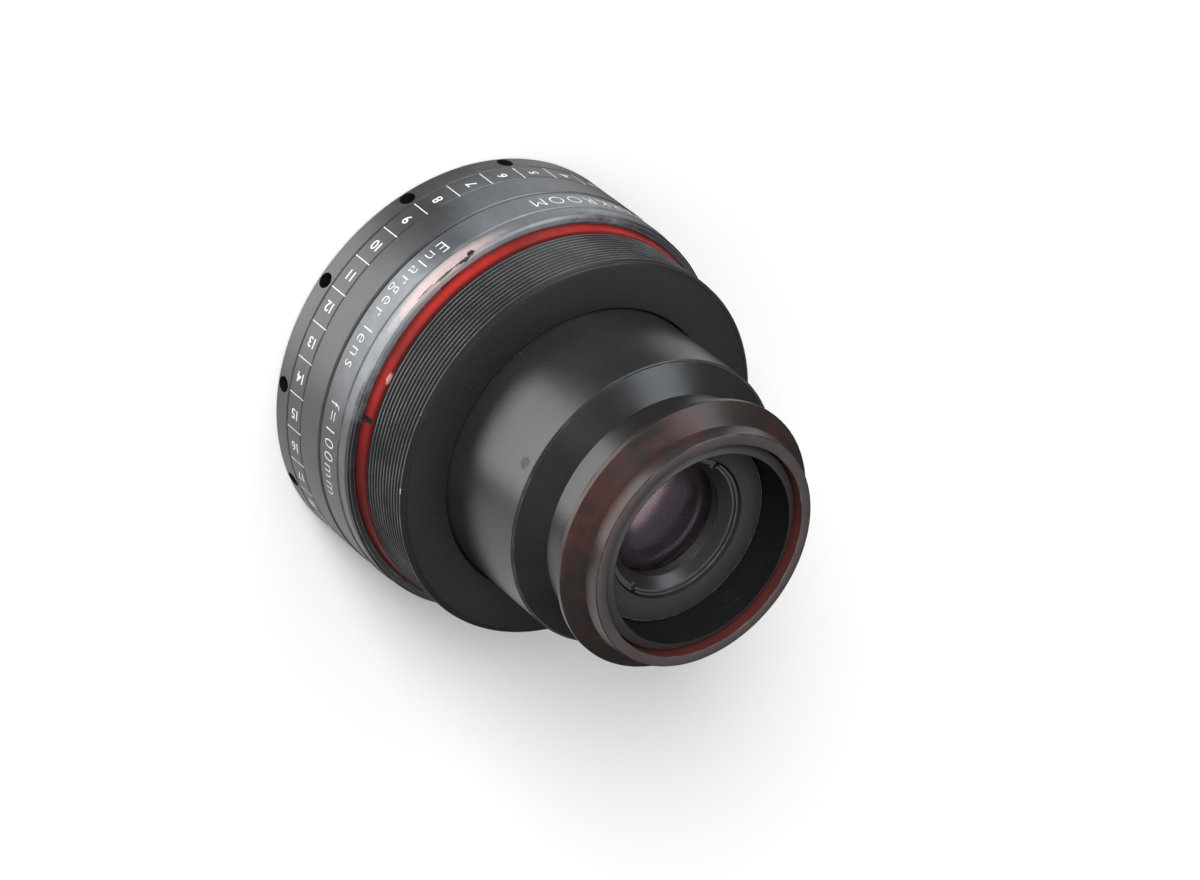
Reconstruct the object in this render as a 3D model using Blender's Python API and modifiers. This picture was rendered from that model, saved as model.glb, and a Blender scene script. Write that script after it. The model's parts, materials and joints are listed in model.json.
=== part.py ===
"""A large fast lens in a focusing mount, standing on its large end.

The optical axis is Z, and the small end points up. The origin is the centre of the
large end's rim plane. Radii and heights below are in millimetres and are turned into
metres where each mesh is made.

Three bodies move against each other:
  mount          the threaded barrel with its name, shoulder and index rings
  focus ring     the spanner ring, the scale ring and the helicoid sleeve, turning on the mount
  optical unit   the lens barrel, the small-end rings and all the glass, sliding along Z
"""

import math

import bmesh
import bpy
from mathutils import Matrix, Vector

MM = 0.001
GAP = 0.3                 # clearance between neighbouring pieces
OUTER_STEPS = 36          # facets around the outside pieces
INNER_STEPS = 24          # facets around the pieces held inside the lens barrel

# Heights of the outside, from the large end's rim plane.
SPANNER_TOP = 4.5
SCALE_LINE = 9.5
SCALE_TOP = 16.4
NAME_TOP = 23.1
SHOULDER_Z = 26.7
INDEX_TOP = 28.7
THREAD_TOP = 41.25
FACE_Z = 42.3
NECK_TOP = 64.0
WAIST_Z = 68.6
FLANGE_BACK_Z = 73.6
FLANGE_Z = 77.1
FLANGE_EDGE = 0.9
COVE_LOW = 79.7
COVE_MIDDLE = 80.7
COVE_TOP = 82.0
RIM_Z = 83.7

# Radii of the outside.
BARREL_R = 43.0
NAME_R = 42.8
SHOULDER_R = 42.5
INDEX_LOW_R = 40.8
INDEX_HIGH_R = 40.1
SEAT_DEPTH = 0.5          # the index ring sits this far into the shoulder
THREAD_R = 39.95
THREAD_DEPTH = 0.6
THREAD_PITCH = 1.0
FACE_R = 38.7
NECK_R = 29.85
WAIST_R = 24.9
FLANGE_R = 27.8
RIM_R = 24.2
COVE_MIDDLE_R = 24.5
COVE_LOW_R = 25.2
RIM_BORE_R = 22.0

# The mount's inside, where the focus ring and the optical unit run.
SPIGOT_R = 38.4
SPIGOT_Z = 7.0
SLEEVE_SPACE_R = 35.6
KEEPER_LOW = 4.9
KEEPER_R = 39.9
MOUNT_WALL_Z = 39.5       # underside of the mount's inward flange

# The focus ring.
SPANNER_HOLES = 12
SPANNER_HOLE_START = 6.5  # degrees from +X
SPANNER_HOLE_R = 1.6
SPANNER_HOLE_Z = 2.25
SPANNER_HOLE_DEPTH = 4.0
SPANNER_BORE_R = 34.2
SLEEVE_BORE_R = 33.9
SLEEVE_TOP = 31.0

# The stop that ends the focus ring's turn.
STOP_GROOVE_R = 40.4
STOP_GROOVE_LOW = 11.0
STOP_GROOVE_HIGH = 14.0
STOP_PIN_R = 1.0
STOP_LUG_WIDTH = 4.0

# The guide key, which lets the optical unit slide but not turn.
KEY_WIDTH = 9.0
KEY_LOW = 35.1
KEY_INNER_Y = 31.7
KEY_OUTER_Y = 34.9
KEY_SLOT_LOW = 33.1
KEY_SCREW_X = 2.4
KEY_SCREW_Y = 33.4
KEY_SCREW_HEAD_R = 1.5
KEY_SCREW_SHANK_R = 0.8
KEY_SCREW_HEAD_LOW = 41.0
KEY_SCREW_LOW = 36.6

# The lens barrel's bores, from the large end up.
UNIT_R = 33.6
UNIT_LOW = 3.0
UNIT_SHOULDER = 37.4
FRONT_BORE_R = 31.6
FRONT_BORE_TOP = 33.0
STOP_BORE_R = 26.3
STOP_SEAT = 38.5
STOP_LIP_R = 22.3
REAR_SEAT = 41.0
REAR_BORE_R = 25.3
REAR_BORE_TOP = 57.5
COLLAR_BORE_R = 27.0

# The front group and the stop, inside the lens barrel's large end.
BEZEL_TOP = 8.3
BEZEL_R = 30.2
BEZEL_MOUTH_R = 30.9
FRONT_RING_TOP = 12.0
FRONT_RING_BORE_R = 29.1
FRONT_GLASS_TOP = 17.0
FRONT_CELL_TOP = 32.7
FRONT_CELL_LIP_R = 22.5
FRONT_CELL_LIP_LOW = 31.2
FRONT_CELL_BORE_R = 27.3
DOUBLET_RING_LOW = 22.0
DOUBLET_RING_TOP = 24.7
DOUBLET_RING_BORE_R = 25.9
STOP_RING_LOW = 33.4
STOP_RING_TOP = 36.6
STOP_RING_BORE_R = 23.0
STOP_OPENING_R = 17.5
REAR_DOUBLET_TOP = 51.0
REAR_DOUBLET_RING_TOP = 53.5
REAR_DOUBLET_RING_BORE_R = 23.7

# The small end's inside.
RECESS_R = 19.7
TUBE_R = 21.7             # the collar's tube, which the flange ring screws onto
TUBE_SHOULDER = 81.6
TUBE_TOP = 82.9
RECESS_FLOOR = 74.6
CELL_LOW = 58.6
CELL_BORE_R = 14.7
CELL_LIP_LOW = 65.3
CELL_LIP_TOP = 66.5
CELL_LIP_R = 12.0
INNER_GLASS_BORE_R = 17.3
INNER_RING_LOW = 58.8
INNER_RING_TOP = 60.9
INNER_RING_BORE_R = 15.4
INNER_GLASS_TOP = 65.0
REAR_GLASS_SEAT = 69.0
RING_BORE_R = 11.6
RING_FUNNEL_LOW = 71.6
RING_FUNNEL_TOP = 73.4
RING_FUNNEL_R = 13.4
RING_LAND_R = 13.9
RING_TOP = 74.0
RING_SLOT_LENGTH = 3.0
RING_SLOT_WIDTH = 1.2
RING_SLOT_DEPTH = 1.1
RING_SLOT_TURN = 7.0      # degrees from +X

COLOURS = {
    "black_anodised": ((0.030, 0.030, 0.032, 1), 0.42, 0.6),
    "matte_black": ((0.012, 0.012, 0.012, 1), 0.75, 0.2),
    "satin_black": ((0.085, 0.085, 0.088, 1), 0.38, 0.7),
    "faded_brown": ((0.070, 0.042, 0.036, 1), 0.45, 0.5),
    "index_red": ((0.560, 0.028, 0.020, 1), 0.40, 0.1),
    "bare_metal": ((0.480, 0.450, 0.380, 1), 0.35, 1.0),
    "screw_steel": ((0.300, 0.300, 0.300, 1), 0.30, 1.0),
    "coated_glass": ((0.220, 0.120, 0.200, 1), 0.02, 0.0),
}


def start_scene():
    """Empties the scene and returns the collections for the parts and the cutters."""
    for obj in list(bpy.data.objects):
        bpy.data.objects.remove(obj, do_unlink=True)
    made = []
    for name in ("enlarger_lens", "cutters"):
        collection = bpy.data.collections.new(name)
        bpy.context.scene.collection.children.link(collection)
        made.append(collection)
    return made


PARTS, CUTTERS = start_scene()


def material(name):
    """The named material, made the first time it is asked for."""
    if name in bpy.data.materials:
        return bpy.data.materials[name]
    colour, roughness, metallic = COLOURS[name]
    made = bpy.data.materials.new(name)
    made.use_nodes = True
    shader = made.node_tree.nodes["Principled BSDF"]
    shader.inputs["Base Color"].default_value = colour
    shader.inputs["Roughness"].default_value = roughness
    shader.inputs["Metallic"].default_value = metallic
    made.diffuse_color = colour
    return made


def body_empty(name):
    """An empty on the optical axis, which the pieces of one moving body are parented to."""
    empty = bpy.data.objects.new(name, None)
    PARTS.objects.link(empty)
    return empty


def add_object(name, mesh, finish, body):
    obj = bpy.data.objects.new(name, mesh)
    mesh.materials.append(material(finish))
    PARTS.objects.link(obj)
    obj.parent = body
    return obj


def profile_mesh(name, outline, closed):
    """A mesh of edges only, from (radius, height) points in millimetres at +X."""
    mesh = bpy.data.meshes.new(name)
    shape = bmesh.new()
    points = [shape.verts.new((r * MM, 0, z * MM)) for r, z in outline]
    for first, second in zip(points, points[1:]):
        shape.edges.new((first, second))
    if closed:
        shape.edges.new((points[-1], points[0]))
    shape.to_mesh(mesh)
    shape.free()
    return mesh


def add_screw(obj, steps):
    screw = obj.modifiers.new("turn", "SCREW")
    screw.axis = "Z"
    screw.steps = steps
    screw.render_steps = steps
    screw.use_merge_vertices = True
    screw.merge_threshold = 0.00001
    screw.use_smooth_shade = True


def turned(name, outline, finish, body, steps=OUTER_STEPS, solid=False):
    """A turned piece.

    The outline runs down its outer side, and a solid one starts and ends on the axis."""
    mesh = profile_mesh(name, outline, closed=not solid)
    obj = add_object(name, mesh, finish, body)
    add_screw(obj, steps)
    return obj


def turned_ring(name, low, high, inner, outer, finish, body, steps=INNER_STEPS):
    """A plain ring with a small bevel on its outer corners."""
    bevel = 0.2
    outline = [
        (inner, high),
        (outer - bevel, high),
        (outer, high - bevel),
        (outer, low + bevel),
        (outer - bevel, low),
        (inner, low),
    ]
    return turned(name, outline, finish, body, steps)


def sphere_height(vertex, radius, r):
    """The height at r of a surface of this radius. A positive radius rises away from the axis."""
    return vertex + radius - math.copysign(math.sqrt(radius * radius - r * r), radius)


def surface(annulus, radius, reach, count):
    """Points from the axis to reach on a surface that meets the plane z = annulus there."""
    vertex = annulus - sphere_height(0, radius, reach)
    radii = [reach * i / count for i in range(count + 1)]
    return [(r, sphere_height(vertex, radius, r)) for r in radii]


def lens(name, edge_r, low, high, low_radius, low_reach, high_radius, high_reach, body):
    """A glass piece.

    low and high are its flat edge annuli, each with a ground surface inside it."""
    count = 3
    top = surface(high, high_radius, high_reach, count)
    bottom = surface(low, low_radius, low_reach, count)
    outline = top + [(edge_r, high), (edge_r, low)] + bottom[::-1]
    return turned(name, outline, "coated_glass", body, INNER_STEPS, solid=True)


def box_mesh(name, low, high):
    """A box between two corners, in millimetres."""
    low = Vector(low) * MM
    high = Vector(high) * MM
    shape = bmesh.new()
    bmesh.ops.create_cube(shape, size=1.0)
    size = high - low
    place = Matrix.Translation((low + high) / 2) @ Matrix.Diagonal((*size, 1))
    bmesh.ops.transform(shape, matrix=place, verts=shape.verts)
    mesh = bpy.data.meshes.new(name)
    shape.to_mesh(mesh)
    shape.free()
    return mesh


def rod_mesh(name, radius, start, end, sides):
    """A cylinder from start to end, in millimetres."""
    start = Vector(start) * MM
    end = Vector(end) * MM
    along = end - start
    shape = bmesh.new()
    bmesh.ops.create_cone(
        shape,
        cap_ends=True,
        segments=sides,
        radius1=radius * MM,
        radius2=radius * MM,
        depth=along.length,
    )
    turn = along.to_track_quat("Z", "Y").to_matrix().to_4x4()
    place = Matrix.Translation((start + end) / 2) @ turn
    bmesh.ops.transform(shape, matrix=place, verts=shape.verts)
    mesh = bpy.data.meshes.new(name)
    shape.to_mesh(mesh)
    shape.free()
    return mesh


def cutter(name, mesh):
    obj = bpy.data.objects.new(name, mesh)
    CUTTERS.objects.link(obj)
    obj.hide_render = True
    obj.display_type = "WIRE"
    return obj


def cut(obj, tool):
    boolean = obj.modifiers.new("cut " + tool.name, "BOOLEAN")
    boolean.operation = "DIFFERENCE"
    boolean.solver = "EXACT"
    boolean.object = tool


def polar(radius, degrees, z):
    turn = math.radians(degrees)
    return (radius * math.cos(turn), radius * math.sin(turn), z)


def thread_outline():
    """The mounting thread as V ridges, from its top run-out down to its last root."""
    turns = int((THREAD_TOP - INDEX_TOP - 0.5) / THREAD_PITCH)
    root = THREAD_R - THREAD_DEPTH
    points = []
    for turn in range(turns):
        crest_z = THREAD_TOP - turn * THREAD_PITCH
        points.append((THREAD_R, crest_z))
        points.append((root, crest_z - THREAD_PITCH / 2))
    return points


def make_mount_barrel(body):
    outline = [(NECK_R + GAP + 0.05, FACE_Z), (FACE_R, FACE_Z)]
    outline += thread_outline()
    outline += [
        (SPIGOT_R, INDEX_TOP + 0.4),
        (SPIGOT_R, SPIGOT_Z),
        (SLEEVE_SPACE_R, SPIGOT_Z),
        (SLEEVE_SPACE_R, MOUNT_WALL_Z),
        (NECK_R + GAP + 0.05, MOUNT_WALL_Z),
    ]
    barrel = turned("mount_barrel", outline, "black_anodised", body)
    for side in (-1, 1):
        x = side * KEY_SCREW_X
        head = rod_mesh(
            "head_hole",
            KEY_SCREW_HEAD_R + GAP,
            (x, KEY_SCREW_Y, KEY_SCREW_HEAD_LOW - GAP),
            (x, KEY_SCREW_Y, FACE_Z + 1),
            12,
        )
        shank = rod_mesh(
            "shank_hole",
            KEY_SCREW_SHANK_R + GAP,
            (x, KEY_SCREW_Y, MOUNT_WALL_Z - 1),
            (x, KEY_SCREW_Y, FACE_Z),
            12,
        )
        cut(barrel, cutter("head_hole", head))
        cut(barrel, cutter("shank_hole", shank))


def make_mount_rings(body):
    bore = SPIGOT_R + GAP
    bevel = 0.2
    turned(
        "name_ring",
        [
            (bore, NAME_TOP - GAP / 2),
            (NAME_R - bevel, NAME_TOP - GAP / 2),
            (NAME_R, NAME_TOP - GAP / 2 - bevel),
            (NAME_R, SCALE_TOP + GAP + bevel),
            (NAME_R - bevel, SCALE_TOP + GAP),
            (bore, SCALE_TOP + GAP),
        ],
        "satin_black",
        body,
    )
    turned(
        "shoulder_ring",
        [
            (bore, SHOULDER_Z - SEAT_DEPTH),
            (INDEX_LOW_R + GAP, SHOULDER_Z - SEAT_DEPTH),
            (INDEX_LOW_R + GAP, SHOULDER_Z),
            (SHOULDER_R - 0.4, SHOULDER_Z),
            (SHOULDER_R, SHOULDER_Z - 0.4),
            (NAME_R - 0.2, NAME_TOP + GAP / 2),
            (bore, NAME_TOP + GAP / 2),
        ],
        "satin_black",
        body,
    )
    turned(
        "red_index_ring",
        [
            (bore, INDEX_TOP),
            (INDEX_HIGH_R, INDEX_TOP),
            (INDEX_LOW_R, SHOULDER_Z - SEAT_DEPTH + GAP),
            (bore, SHOULDER_Z - SEAT_DEPTH + GAP),
        ],
        "index_red",
        body,
    )
    turned_ring(
        "ring_keeper",
        KEEPER_LOW,
        SPIGOT_Z - GAP,
        SLEEVE_SPACE_R + GAP,
        KEEPER_R,
        "bare_metal",
        body,
        OUTER_STEPS,
    )


def make_guide_key(body):
    low = (-KEY_WIDTH / 2, KEY_INNER_Y, KEY_LOW)
    high = (KEY_WIDTH / 2, KEY_OUTER_Y, MOUNT_WALL_Z - GAP)
    key = add_object("guide_key", box_mesh("guide_key", low, high), "bare_metal", body)
    for number, side in enumerate((-1, 1), start=1):
        x = side * KEY_SCREW_X
        hole = rod_mesh(
            "key_hole",
            KEY_SCREW_SHANK_R + GAP,
            (x, KEY_SCREW_Y, KEY_SCREW_LOW - GAP),
            (x, KEY_SCREW_Y, MOUNT_WALL_Z + 1),
            12,
        )
        cut(key, cutter("key_hole", hole))
        screw = turned(
            f"key_screw_{number}",
            [
                (0, FACE_Z - 0.3),
                (KEY_SCREW_HEAD_R, FACE_Z - 0.3),
                (KEY_SCREW_HEAD_R, KEY_SCREW_HEAD_LOW),
                (KEY_SCREW_SHANK_R, KEY_SCREW_HEAD_LOW),
                (KEY_SCREW_SHANK_R, KEY_SCREW_LOW),
                (0, KEY_SCREW_LOW),
            ],
            "screw_steel",
            body,
            12,
            solid=True,
        )
        screw.location = Vector((x, KEY_SCREW_Y, 0)) * MM


def make_turn_stop(mount, focus):
    """A pin on the mount and a lug on the scale ring, which meet after nearly a full turn."""
    inner = SPIGOT_R + GAP
    outer = STOP_GROOVE_R - GAP
    middle = (STOP_GROOVE_LOW + STOP_GROOVE_HIGH) / 2
    pin = rod_mesh("stop_pin", STOP_PIN_R, (0, inner, middle), (0, outer, middle), 12)
    add_object("stop_pin", pin, "screw_steel", mount)
    half = STOP_LUG_WIDTH / 2
    lug = box_mesh(
        "stop_lug",
        (-half, -outer, STOP_GROOVE_LOW + GAP),
        (half, -inner, STOP_GROOVE_HIGH - GAP),
    )
    add_object("stop_lug", lug, "screw_steel", focus)


def make_focus_ring(body):
    spanner = turned(
        "spanner_ring",
        [
            (SPANNER_BORE_R, SPANNER_TOP - GAP / 2),
            (BARREL_R - 0.2, SPANNER_TOP - GAP / 2),
            (BARREL_R, SPANNER_TOP - GAP / 2 - 0.2),
            (BARREL_R, 0.5),
            (BARREL_R - 0.5, 0),
            (SPANNER_BORE_R, 0),
        ],
        "satin_black",
        body,
    )
    for number in range(SPANNER_HOLES):
        degrees = SPANNER_HOLE_START + 360 * number / SPANNER_HOLES
        outside = polar(BARREL_R + 1, degrees, SPANNER_HOLE_Z)
        inside = polar(BARREL_R - SPANNER_HOLE_DEPTH, degrees, SPANNER_HOLE_Z)
        hole = rod_mesh("spanner_hole", SPANNER_HOLE_R, outside, inside, 10)
        cut(spanner, cutter("spanner_hole", hole))
    turned(
        "scale_ring",
        [
            (SPIGOT_R + GAP, SCALE_TOP),
            (BARREL_R - 0.3, SCALE_TOP),
            (BARREL_R, SCALE_TOP - 0.3),
            (BARREL_R, SCALE_LINE + 0.2),
            (BARREL_R - 0.25, SCALE_LINE),
            (BARREL_R, SCALE_LINE - 0.2),
            (BARREL_R, SPANNER_TOP + GAP / 2 + 0.2),
            (BARREL_R - 0.2, SPANNER_TOP + GAP / 2),
            (KEEPER_R + GAP, SPANNER_TOP + GAP / 2),
            (KEEPER_R + GAP, SPIGOT_Z),
            (SPIGOT_R + GAP, SPIGOT_Z),
            (SPIGOT_R + GAP, STOP_GROOVE_LOW),
            (STOP_GROOVE_R, STOP_GROOVE_LOW),
            (STOP_GROOVE_R, STOP_GROOVE_HIGH),
            (SPIGOT_R + GAP, STOP_GROOVE_HIGH),
        ],
        "satin_black",
        body,
    )
    turned_ring(
        "helicoid_sleeve",
        SPANNER_TOP + GAP / 2,
        SLEEVE_TOP,
        SLEEVE_BORE_R,
        SLEEVE_SPACE_R - GAP,
        "bare_metal",
        body,
        OUTER_STEPS,
    )


def make_lens_barrel(body):
    barrel = turned(
        "lens_barrel",
        [
            (COLLAR_BORE_R, NECK_TOP),
            (NECK_R - 0.2, NECK_TOP),
            (NECK_R, NECK_TOP - 0.2),
            (NECK_R, UNIT_SHOULDER),
            (UNIT_R, UNIT_SHOULDER),
            (UNIT_R, UNIT_LOW),
            (FRONT_BORE_R, UNIT_LOW),
            (FRONT_BORE_R, FRONT_BORE_TOP),
            (STOP_BORE_R, FRONT_BORE_TOP),
            (STOP_BORE_R, STOP_SEAT),
            (STOP_LIP_R, STOP_SEAT),
            (STOP_LIP_R, REAR_SEAT),
            (REAR_BORE_R, REAR_SEAT),
            (REAR_BORE_R, REAR_BORE_TOP),
            (COLLAR_BORE_R, REAR_BORE_TOP),
        ],
        "satin_black",
        body,
    )
    half = KEY_WIDTH / 2 + GAP
    slot = box_mesh(
        "key_slot",
        (-half, KEY_INNER_Y - GAP, KEY_SLOT_LOW),
        (half, UNIT_R + 1, UNIT_SHOULDER + 1),
    )
    cut(barrel, cutter("key_slot", slot))


def make_front_group(body):
    held_r = FRONT_BORE_R - GAP
    turned(
        "front_bezel",
        [
            (BEZEL_R, BEZEL_TOP),
            (held_r, BEZEL_TOP),
            (held_r, UNIT_LOW + 0.3),
            (held_r - 0.3, UNIT_LOW),
            (BEZEL_MOUTH_R, UNIT_LOW),
        ],
        "matte_black",
        body,
        INNER_STEPS,
    )
    turned_ring(
        "front_retaining_ring",
        BEZEL_TOP + GAP,
        FRONT_RING_TOP,
        FRONT_RING_BORE_R,
        held_r,
        "matte_black",
        body,
    )
    glass_low = FRONT_RING_TOP + GAP
    lens("front_element", held_r, glass_low, FRONT_GLASS_TOP, 70, 28.6, 250, 28.0, body)
    turned(
        "front_doublet_cell",
        [
            (FRONT_CELL_LIP_R, FRONT_CELL_TOP),
            (held_r, FRONT_CELL_TOP),
            (held_r, FRONT_GLASS_TOP + GAP),
            (FRONT_CELL_BORE_R, FRONT_GLASS_TOP + GAP),
            (FRONT_CELL_BORE_R, FRONT_CELL_LIP_LOW),
            (FRONT_CELL_LIP_R, FRONT_CELL_LIP_LOW),
        ],
        "matte_black",
        body,
        INNER_STEPS,
    )
    glass_r = FRONT_CELL_BORE_R - GAP
    turned_ring(
        "front_doublet_ring",
        DOUBLET_RING_LOW,
        DOUBLET_RING_TOP,
        DOUBLET_RING_BORE_R,
        glass_r,
        "matte_black",
        body,
    )
    glass_low = DOUBLET_RING_TOP + GAP
    glass_high = FRONT_CELL_LIP_LOW - GAP
    lens("front_doublet", glass_r, glass_low, glass_high, 40, 25.5, 27, 20.0, body)


def make_stop(body):
    held_r = STOP_BORE_R - GAP
    turned_ring(
        "stop_ring",
        STOP_RING_LOW,
        STOP_RING_TOP,
        STOP_RING_BORE_R,
        held_r,
        "matte_black",
        body,
    )
    turned_ring(
        "aperture_stop",
        STOP_RING_TOP + GAP,
        STOP_SEAT - GAP,
        STOP_OPENING_R,
        held_r,
        "matte_black",
        body,
    )


def make_rear_group(body):
    held_r = REAR_BORE_R - GAP
    lens("rear_doublet", held_r, REAR_SEAT + GAP, REAR_DOUBLET_TOP, -24, 18.0, -42, 23.5, body)
    turned_ring(
        "rear_doublet_ring",
        REAR_DOUBLET_TOP + GAP,
        REAR_DOUBLET_RING_TOP,
        REAR_DOUBLET_RING_BORE_R,
        held_r,
        "matte_black",
        body,
    )
    cell_r = RECESS_R - GAP
    turned(
        "rear_cell",
        [
            (CELL_BORE_R, RECESS_FLOOR),
            (cell_r, RECESS_FLOOR),
            (cell_r, CELL_LOW),
            (INNER_GLASS_BORE_R, CELL_LOW),
            (INNER_GLASS_BORE_R, CELL_LIP_LOW),
            (CELL_LIP_R, CELL_LIP_LOW),
            (CELL_LIP_R, CELL_LIP_TOP),
            (CELL_BORE_R, CELL_LIP_TOP),
        ],
        "matte_black",
        body,
        INNER_STEPS,
    )
    inner_r = INNER_GLASS_BORE_R - GAP
    turned_ring(
        "inner_element_ring",
        INNER_RING_LOW,
        INNER_RING_TOP,
        INNER_RING_BORE_R,
        inner_r,
        "matte_black",
        body,
    )
    inner_low = INNER_RING_TOP + GAP
    lens("inner_element", inner_r, inner_low, INNER_GLASS_TOP, 90, 15.0, -50, 11.3, body)
    glass_r = CELL_BORE_R - GAP
    rear_low = CELL_LIP_TOP + GAP
    lens("rear_element", glass_r, rear_low, REAR_GLASS_SEAT, -150, 12.4, -34, 12.0, body)
    ring = turned(
        "rear_retaining_ring",
        [
            (RING_LAND_R, RING_TOP),
            (glass_r, RING_TOP),
            (glass_r, REAR_GLASS_SEAT + GAP),
            (RING_BORE_R, REAR_GLASS_SEAT + GAP),
            (RING_BORE_R, RING_FUNNEL_LOW),
            (RING_FUNNEL_R, RING_FUNNEL_TOP),
            (RING_LAND_R, RING_FUNNEL_TOP),
        ],
        "black_anodised",
        body,
        INNER_STEPS,
    )
    for side in (-1, 1):
        middle = side * (glass_r - RING_SLOT_LENGTH / 3)
        low = (middle - RING_SLOT_LENGTH / 2, -RING_SLOT_WIDTH / 2, RING_TOP - RING_SLOT_DEPTH)
        high = (middle + RING_SLOT_LENGTH / 2, RING_SLOT_WIDTH / 2, RING_TOP + 1)
        slot = cutter("ring_slot", box_mesh("ring_slot", low, high))
        slot.rotation_euler.z = math.radians(RING_SLOT_TURN)
        cut(ring, slot)


def make_small_end(body):
    turned(
        "rear_collar",
        [
            (RECESS_R, TUBE_TOP),
            (TUBE_R, TUBE_SHOULDER),
            (TUBE_R, FLANGE_BACK_Z - GAP),
            (WAIST_R, FLANGE_BACK_Z - GAP),
            (WAIST_R, WAIST_Z),
            (NECK_R - 0.3, NECK_TOP + GAP),
            (COLLAR_BORE_R - GAP, NECK_TOP + GAP),
            (COLLAR_BORE_R - GAP, REAR_BORE_TOP + GAP),
            (RECESS_R, REAR_BORE_TOP + GAP),
        ],
        "black_anodised",
        body,
    )
    turned(
        "rear_flange_ring",
        [
            (RIM_BORE_R, RIM_Z),
            (RIM_R - 0.2, RIM_Z),
            (RIM_R, RIM_Z - 0.2),
            (RIM_R, COVE_TOP),
            (COVE_MIDDLE_R, COVE_MIDDLE),
            (COVE_LOW_R, COVE_LOW),
            (FLANGE_R, FLANGE_Z),
            (FLANGE_R, FLANGE_Z - FLANGE_EDGE),
            (WAIST_R, FLANGE_BACK_Z),
            (RIM_BORE_R, FLANGE_BACK_Z),
        ],
        "faded_brown",
        body,
    )


mount_body = body_empty("mount_body")
focus_body = body_empty("focus_body")
optical_body = body_empty("optical_body")

make_mount_barrel(mount_body)
make_mount_rings(mount_body)
make_guide_key(mount_body)
make_turn_stop(mount_body, focus_body)
make_focus_ring(focus_body)
make_lens_barrel(optical_body)
make_front_group(optical_body)
make_stop(optical_body)
make_rear_group(optical_body)
make_small_end(optical_body)
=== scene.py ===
"""The looks of the enlarger lens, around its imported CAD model.

Each turned CAD piece is turned again finely from its own section, with rounded edges. The
mounting thread becomes a real helix, and the scale, the lettering and the index mark are
thin inlays. Every piece has a procedural material.
"""

import json
import math

import bmesh
import bpy
from mathutils import Matrix, Vector

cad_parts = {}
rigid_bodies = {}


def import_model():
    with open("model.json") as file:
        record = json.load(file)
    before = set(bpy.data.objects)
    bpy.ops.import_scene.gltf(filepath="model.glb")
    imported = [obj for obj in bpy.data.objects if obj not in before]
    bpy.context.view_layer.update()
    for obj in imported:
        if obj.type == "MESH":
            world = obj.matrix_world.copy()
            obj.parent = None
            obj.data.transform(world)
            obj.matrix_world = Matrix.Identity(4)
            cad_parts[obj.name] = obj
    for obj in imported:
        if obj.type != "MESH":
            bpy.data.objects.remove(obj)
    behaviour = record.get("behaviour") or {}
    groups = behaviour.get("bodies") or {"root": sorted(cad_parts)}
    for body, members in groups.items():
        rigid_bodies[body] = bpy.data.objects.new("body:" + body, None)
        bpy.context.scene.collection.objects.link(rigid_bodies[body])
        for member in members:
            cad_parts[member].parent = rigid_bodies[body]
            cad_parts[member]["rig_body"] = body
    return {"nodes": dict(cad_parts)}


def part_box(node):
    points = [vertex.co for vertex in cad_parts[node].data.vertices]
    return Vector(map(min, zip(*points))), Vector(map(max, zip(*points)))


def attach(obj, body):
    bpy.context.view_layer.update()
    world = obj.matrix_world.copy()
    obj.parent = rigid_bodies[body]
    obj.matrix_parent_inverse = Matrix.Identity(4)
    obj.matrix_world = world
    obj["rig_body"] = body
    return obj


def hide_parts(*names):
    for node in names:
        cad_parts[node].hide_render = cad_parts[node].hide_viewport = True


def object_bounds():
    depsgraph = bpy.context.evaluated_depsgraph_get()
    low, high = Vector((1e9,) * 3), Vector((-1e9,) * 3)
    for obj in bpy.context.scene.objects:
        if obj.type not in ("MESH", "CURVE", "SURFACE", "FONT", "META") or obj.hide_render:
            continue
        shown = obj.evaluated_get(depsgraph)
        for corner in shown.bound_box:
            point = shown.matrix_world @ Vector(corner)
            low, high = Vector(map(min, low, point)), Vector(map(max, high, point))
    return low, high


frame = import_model()
cad_low, cad_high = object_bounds()

MM = 0.001
STEPS = 240               # facets around a turned piece
CORNER = 0.12 * MM        # radius of a rounded corner
SHARPER = 0.08 * MM       # and of one on a thin or close-fitting piece
CORNER_STEPS = 3          # facets across a rounded corner
SHARP_ANGLE = math.radians(35)
GENTLE = math.radians(20)  # a bend under this isn't rounded
TINY = 1e-7
ON_PLANE = 2e-6


# ---------------------------------------------------------------- places on the lens

def radius_of(node):
    """A turned node's outer radius, in metres."""
    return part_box(node)[1].x


def heights_of(node):
    low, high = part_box(node)
    return low.z, high.z


def polar(radius, degrees, z):
    turn = math.radians(degrees)
    return Vector((radius * math.cos(turn), radius * math.sin(turn), z))


def body_of(node):
    return frame["nodes"][node]["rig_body"]


# ---------------------------------------------------------------- material building

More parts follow.
